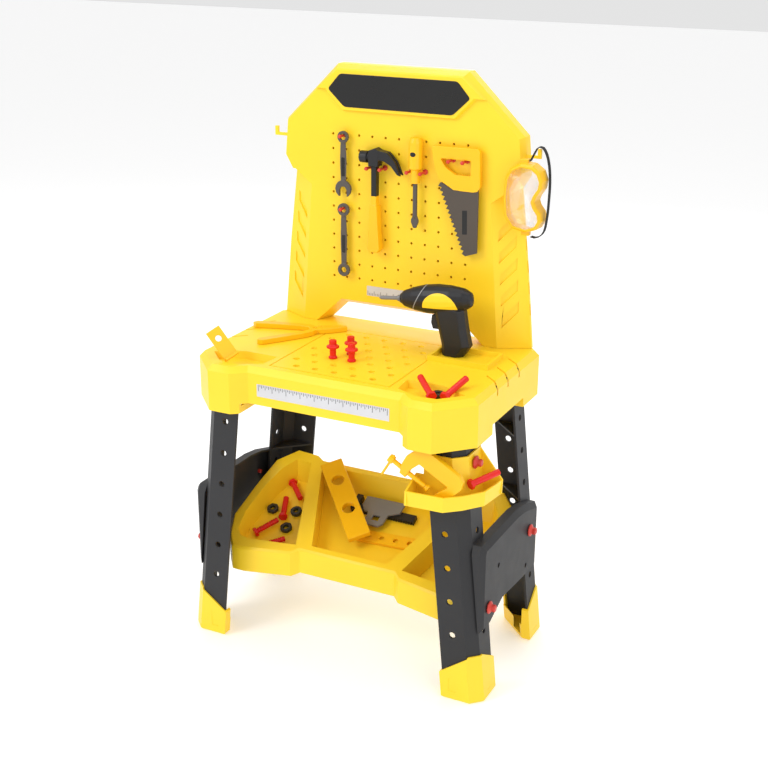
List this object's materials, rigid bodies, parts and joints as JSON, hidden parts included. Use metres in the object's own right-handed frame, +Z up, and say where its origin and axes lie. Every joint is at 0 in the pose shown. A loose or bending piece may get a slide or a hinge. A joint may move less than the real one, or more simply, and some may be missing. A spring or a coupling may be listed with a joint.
{
  "type": "toy tool bench",
  "caption": "Child's plastic tool bench with a peg board of play tools, a table, a lower tray and splayed legs.",
  "frame": {"origin": "floor, under the middle of the bench's outline box", "axes": "+X to the bench's right as seen by the child who stands in front of it, +Y towards the peg board at its back, +Z up"},
  "size_m": [0.5846, 0.3534, 0.9978],
  "materials": {
    "yellow_plastic": "satin moulded",
    "amber_plastic": "satin moulded",
    "charcoal_plastic": "satin moulded",
    "brace_plastic": "satin moulded",
    "red_plastic": "satin moulded",
    "peg_red_plastic": "satin moulded",
    "nut_plastic": "satin moulded",
    "tool_grey": "satin grey moulded",
    "saw_grey": "satin grey moulded",
    "drill_black": "satin moulded",
    "plate_grey": "satin grey moulded",
    "strap_elastic": "woven elastic",
    "clear_plastic": "clear polystyrene"
  },
  "bodies": {
    "root": {"bench_top": "yellow_plastic", "backboard": "yellow_plastic", "lower_tray": "yellow_plastic", "corner_tray": "yellow_plastic", "foot_front_right": "yellow_plastic", "foot_front_left": "yellow_plastic", "foot_rear_right": "yellow_plastic", "foot_rear_left": "yellow_plastic", "leg_front_right": "charcoal_plastic", "leg_front_left": "charcoal_plastic", "leg_rear_right": "charcoal_plastic", "leg_rear_left": "charcoal_plastic", "side_brace_right": "brace_plastic", "side_brace_left": "brace_plastic", "brace_knob_right_1": "peg_red_plastic", "brace_knob_right_2": "peg_red_plastic", "brace_knob_left_1": "peg_red_plastic", "brace_knob_left_2": "peg_red_plastic", "tray_knob": "peg_red_plastic", "peg_wrench_open": "peg_red_plastic", "peg_wrench_ring": "peg_red_plastic", "peg_hammer_left": "peg_red_plastic", "peg_hammer_right": "peg_red_plastic", "peg_driver_left": "peg_red_plastic", "peg_driver_right": "peg_red_plastic", "peg_saw_left": "peg_red_plastic", "peg_saw_right": "peg_red_plastic", "clamp_frame": "amber_plastic", "level": "amber_plastic", "link_strip": "amber_plastic", "link_strip_bent": "amber_plastic", "bar_clamp_bar": "drill_black", "pod_bolt_a": "red_plastic", "pod_bolt_b": "red_plastic", "corner_bolt": "red_plastic", "tray_bolt_a": "red_plastic", "tray_bolt_b": "red_plastic", "tray_nut": "nut_plastic"},
    "wrench_open": {"wrench_open": "tool_grey"},
    "wrench_ring": {"wrench_ring": "tool_grey"},
    "hammer": {"hammer_head": "drill_black", "hammer_handle": "amber_plastic"},
    "screwdriver": {"screwdriver_handle": "amber_plastic", "screwdriver_shaft": "tool_grey"},
    "saw": {"saw_handle": "amber_plastic", "saw_blade": "saw_grey"},
    "drill": {"drill_body": "drill_black"},
    "drill_bit": {"drill_bit": "plate_grey"},
    "drill_trigger": {"drill_trigger": "charcoal_plastic"},
    "pliers_lower": {"pliers_lower": "amber_plastic"},
    "pliers_upper": {"pliers_upper": "amber_plastic"},
    "goggles": {"goggles_frame": "amber_plastic", "goggles_lens": "clear_plastic", "goggles_strap": "strap_elastic"},
    "bolt_a": {"bolt_a": "red_plastic"},
    "bolt_b": {"bolt_b": "red_plastic"},
    "bolt_c": {"bolt_c": "red_plastic"},
    "clamp_pad": {"clamp_pad": "amber_plastic"},
    "clamp_screw": {"clamp_screw": "amber_plastic"},
    "bar_clamp_slider": {"bar_clamp_slider": "plate_grey"}
  },
  "joints": [
    {"name": "wrench_open_lift_off", "type": "slide", "parent": "root", "child": "wrench_open", "axis": [0, -0.9815, 0.1914], "range_m": [0, 0.038]},
    {"name": "wrench_ring_lift_off", "type": "slide", "parent": "root", "child": "wrench_ring", "axis": [0, -0.9815, 0.1914], "range_m": [0, 0.038]},
    {"name": "hammer_lift_off", "type": "slide", "parent": "root", "child": "hammer", "axis": [0, -0.9815, 0.1914], "range_m": [0, 0.038]},
    {"name": "screwdriver_lift_off", "type": "slide", "parent": "root", "child": "screwdriver", "axis": [0, -0.9815, 0.1914], "range_m": [0, 0.038]},
    {"name": "saw_lift_off", "type": "slide", "parent": "root", "child": "saw", "axis": [0, -0.9285, 0.3714], "range_m": [0, 0.035]},
    {"name": "drill_lift", "type": "slide", "parent": "root", "child": "drill", "axis": [0, 0, 1], "range_m": [0, 0.04]},
    {"name": "drill_bit_spin", "type": "hinge", "parent": "drill", "child": "drill_bit", "pos_m": [0.04, 0.0603, 0.623], "axis": [0.9934, 0, 0.1146], "continuous": true},
    {"name": "drill_trigger_press", "type": "slide", "parent": "drill", "child": "drill_trigger", "axis": [1, 0, 0], "range_m": [0, 0.005], "stiffness_N_per_m": 300},
    {"name": "pliers_lift", "type": "slide", "parent": "root", "child": "pliers_lower", "axis": [0, 0, 1], "range_m": [0, 0.06]},
    {"name": "pliers_open", "type": "hinge", "parent": "pliers_lower", "child": "pliers_upper", "pos_m": [-0.13, 0.0593, 0.5408], "axis": [0, 0, -1], "range_deg": [0, 17]},
    {"name": "goggles_lift", "type": "slide", "parent": "root", "child": "goggles", "axis": [0, 0, 1], "range_m": [0, 0.12]},
    {"name": "bolt_a_lift", "type": "slide", "parent": "root", "child": "bolt_a", "axis": [0, 0, 1], "range_m": [0, 0.05]},
    {"name": "bolt_b_lift", "type": "slide", "parent": "root", "child": "bolt_b", "axis": [0, 0, 1], "range_m": [0, 0.05]},
    {"name": "bolt_c_lift", "type": "slide", "parent": "root", "child": "bolt_c", "axis": [0, 0, 1], "range_m": [0, 0.05]},
    {"name": "clamp_pad_travel", "type": "slide", "parent": "root", "child": "clamp_pad", "axis": [0.8572, 0, -0.515], "range_m": [-0.0201, 0.0096]},
    {"name": "clamp_screw_turn", "type": "hinge", "parent": "clamp_pad", "child": "clamp_screw", "pos_m": [0.16855, -0.1542, 0.40057], "axis": [0.8572, 0, -0.515], "range_deg": [-1800, 855]},
    {"name": "bar_clamp_slide", "type": "slide", "parent": "root", "child": "bar_clamp_slider", "axis": [1, 0, 0], "range_m": [-0.007, 0.016]}
  ],
  "couplings": [
    {"joint": "clamp_pad_travel", "follows": "clamp_screw_turn", "m_per_rad": 0.00063662}
  ]
}
